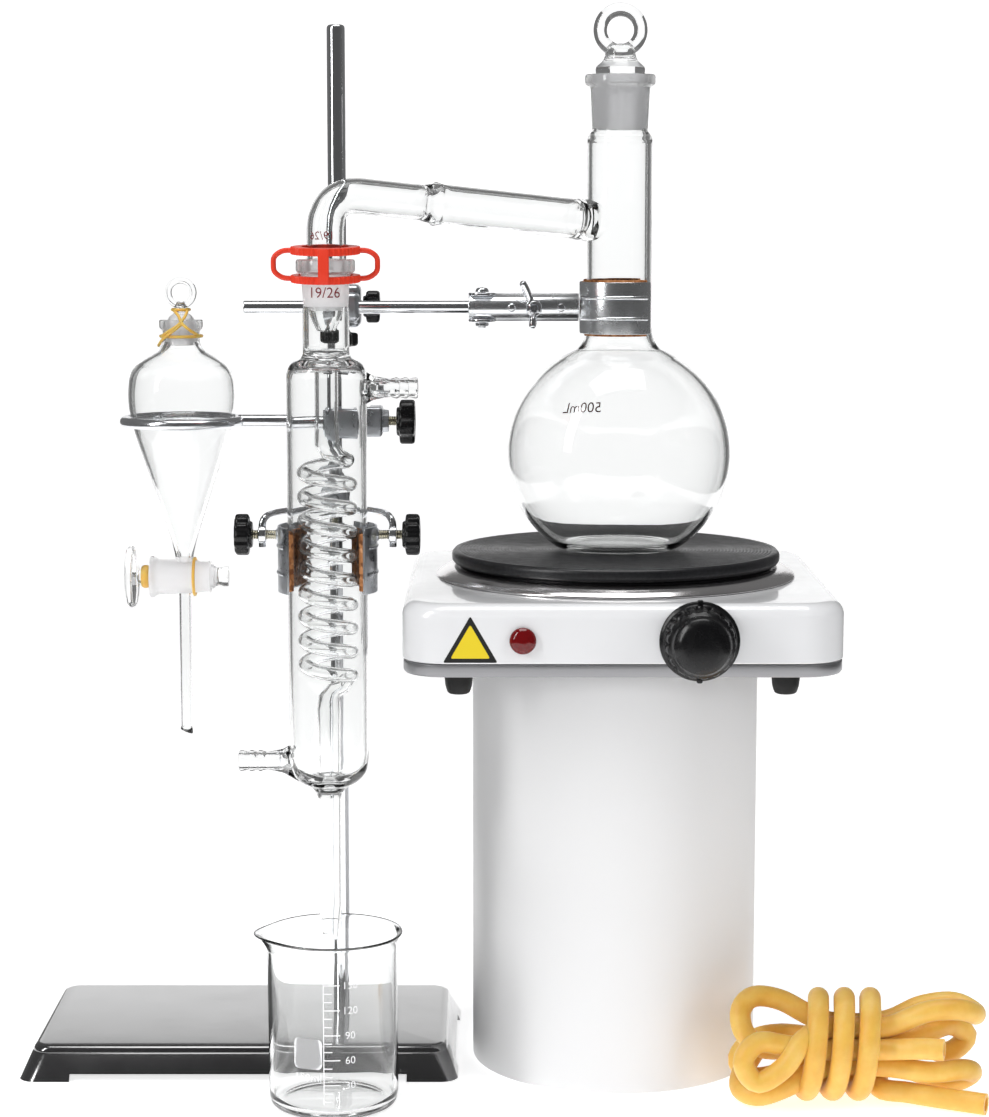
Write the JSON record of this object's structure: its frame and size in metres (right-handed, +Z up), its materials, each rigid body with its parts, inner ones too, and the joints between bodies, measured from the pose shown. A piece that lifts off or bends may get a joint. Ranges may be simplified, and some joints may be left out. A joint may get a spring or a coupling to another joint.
{
  "type": "distilling apparatus",
  "caption": "Glass distilling apparatus: side-arm flask on a hot plate, coil condenser, separating funnel, retort stand, beaker and tubing.",
  "frame": {"origin": "on the floor under the middle of the apparatus, measured without the hank of tubing", "axes": "+Z up; -Y is the front, which faces the viewer; +X to the right, with the stand at -X and the hot plate at +X"},
  "size_m": [0.4461, 0.23, 0.497],
  "materials": {
    "chrome": "polished",
    "zinc_steel": "zinc plated, satin",
    "screw_steel": "pale yellow passivated thread",
    "pan_steel": "satin grey band",
    "borosilicate": "clear, joints ground matt",
    "black_enamel": "gloss",
    "white_enamel": "gloss",
    "black_plastic": "satin",
    "red_plastic": "satin",
    "red_lens": "clear red",
    "cork": "pressed granules, matt",
    "amber_latex": "satin",
    "iron": "matt black, fine turned grooves",
    "white_board": "matt white"
  },
  "bodies": {
    "stand": {"stand_base": "black_enamel", "stand_rod": "chrome", "rod_nut": "zinc_steel", "hotplate_shell": "white_enamel", "hotplate_bottom": "pan_steel", "drip_ring": "chrome", "heating_plate": "iron", "thermostat": "zinc_steel", "pilot_lamp": "red_lens", "cord_gland": "black_plastic", "foot_front_left": "black_plastic", "foot_front_right": "black_plastic", "foot_rear_left": "black_plastic", "foot_rear_right": "black_plastic", "plinth": "white_board", "water_hose": "amber_latex"},
    "ring": {"ring_support": "zinc_steel"},
    "ring_screw": {"ring_clamp_screw": "screw_steel", "ring_clamp_knob": "black_plastic"},
    "funnel": {"funnel_body": "borosilicate", "funnel_stopper": "borosilicate", "stopper_band": "amber_latex", "stopcock_band": "amber_latex"},
    "stopcock": {"stopcock_plug": "borosilicate", "stopcock_ring": "amber_latex"},
    "train": {"upper_boss_head": "zinc_steel", "flask_clamp_arm": "chrome", "flask_clamp_body": "chrome", "rear_jaw_cork": "cork", "flask_clamp_pivot_pin": "zinc_steel", "flask_clamp_bolt": "zinc_steel", "distilling_flask": "borosilicate", "joint_clip": "red_plastic", "condenser_jacket": "borosilicate", "condenser_coil": "borosilicate", "condenser_clamp_yoke": "zinc_steel", "lower_boss_head": "zinc_steel"},
    "upper_rod_screw": {"upper_boss_rod_screw": "screw_steel", "upper_boss_rod_knob": "black_plastic"},
    "upper_arm_screw": {"upper_boss_arm_screw": "screw_steel", "upper_boss_arm_knob": "black_plastic"},
    "lower_rod_screw": {"lower_boss_rod_screw": "screw_steel", "lower_boss_rod_knob": "black_plastic"},
    "lower_arm_screw": {"lower_boss_arm_screw": "screw_steel", "lower_boss_arm_knob": "black_plastic"},
    "front_jaw": {"flask_clamp_front_jaw": "chrome", "front_jaw_cork": "cork"},
    "wing_nut": {"flask_clamp_wing_nut": "chrome"},
    "stopper": {"flask_stopper": "borosilicate"},
    "left_jaw": {"left_jaw": "zinc_steel", "left_jaw_cork": "cork"},
    "left_screw": {"left_jaw_screw": "screw_steel", "left_jaw_knob": "black_plastic"},
    "right_jaw": {"right_jaw": "zinc_steel", "right_jaw_cork": "cork"},
    "right_screw": {"right_jaw_screw": "screw_steel", "right_jaw_knob": "black_plastic"},
    "heat_knob": {"heat_knob": "black_plastic"},
    "beaker": {"beaker": "borosilicate"}
  },
  "joints": [
    {"name": "train_lift", "type": "slide", "parent": "stand", "child": "train", "axis": [0, 0, 1], "range_m": [0, 0.015]},
    {"name": "ring_swing", "type": "hinge", "parent": "stand", "child": "ring", "pos_m": [-0.043, 0.022, 0.303], "axis": [0, 0, 1], "range_deg": [-90, 50]},
    {"name": "ring_screw_turn", "type": "hinge", "parent": "ring", "child": "ring_screw", "pos_m": [-0.043, 0.022, 0.303], "axis": [1, 0, 0], "continuous": true},
    {"name": "funnel_lift", "type": "slide", "parent": "ring", "child": "funnel", "axis": [0, 0, 1], "range_m": [0, 0.03]},
    {"name": "stopcock_turn", "type": "hinge", "parent": "funnel", "child": "stopcock", "pos_m": [-0.117, 0.022, 0.2285], "axis": [1, 0, 0], "continuous": true},
    {"name": "upper_rod_screw_turn", "type": "hinge", "parent": "train", "child": "upper_rod_screw", "pos_m": [-0.043, 0.022, 0.3574], "axis": [1, 0, 0], "continuous": true},
    {"name": "upper_arm_screw_turn", "type": "hinge", "parent": "train", "child": "upper_arm_screw", "pos_m": [-0.043, 0.006, 0.345], "axis": [0, 0, 1], "continuous": true},
    {"name": "lower_rod_screw_turn", "type": "hinge", "parent": "train", "child": "lower_rod_screw", "pos_m": [-0.043, 0.032, 0.268], "axis": [0, 1, 0], "continuous": true},
    {"name": "lower_arm_screw_turn", "type": "hinge", "parent": "train", "child": "lower_arm_screw", "pos_m": [-0.043, 0.003, 0.255], "axis": [0, 0, 1], "continuous": true},
    {"name": "wing_nut_back_off", "type": "slide", "parent": "train", "child": "wing_nut", "axis": [0, -1, 0], "range_m": [0, 0.006]},
    {"name": "front_jaw_swing", "type": "hinge", "parent": "train", "child": "front_jaw", "pos_m": [0.0252, 0.006, 0.3574], "axis": [0, 0, -1], "range_deg": [0, 12]},
    {"name": "flask_stopper_lift", "type": "slide", "parent": "train", "child": "stopper", "axis": [0, 0, 1], "range_m": [0, 0.045]},
    {"name": "left_jaw_slide", "type": "slide", "parent": "train", "child": "left_jaw", "axis": [-1, 0, 0], "range_m": [0, 0.002]},
    {"name": "left_screw_turn", "type": "hinge", "parent": "left_jaw", "child": "left_screw", "pos_m": [-0.073, -0.071, 0.26], "axis": [-1, 0, 0], "range_deg": [0, 720]},
    {"name": "right_jaw_slide", "type": "slide", "parent": "train", "child": "right_jaw", "axis": [1, 0, 0], "range_m": [0, 0.002]},
    {"name": "right_screw_turn", "type": "hinge", "parent": "right_jaw", "child": "right_screw", "pos_m": [-0.013, -0.071, 0.26], "axis": [1, 0, 0], "range_deg": [0, 720]},
    {"name": "heat_knob_turn", "type": "hinge", "parent": "stand", "child": "heat_knob", "pos_m": [0.1206, -0.094, 0.216], "axis": [0, -1, 0], "range_deg": [0, 300]},
    {"name": "beaker_turn", "type": "hinge", "parent": "stand", "child": "beaker", "pos_m": [-0.042, -0.071, 0], "axis": [0, 0, 1], "continuous": true}
  ],
  "couplings": [
    {"joint": "front_jaw_swing", "follows": "wing_nut_back_off", "rad_per_m": 34.907},
    {"joint": "left_screw_turn", "follows": "left_jaw_slide", "rad_per_m": 6283.2},
    {"joint": "right_screw_turn", "follows": "right_jaw_slide", "rad_per_m": 6283.2}
  ]
}
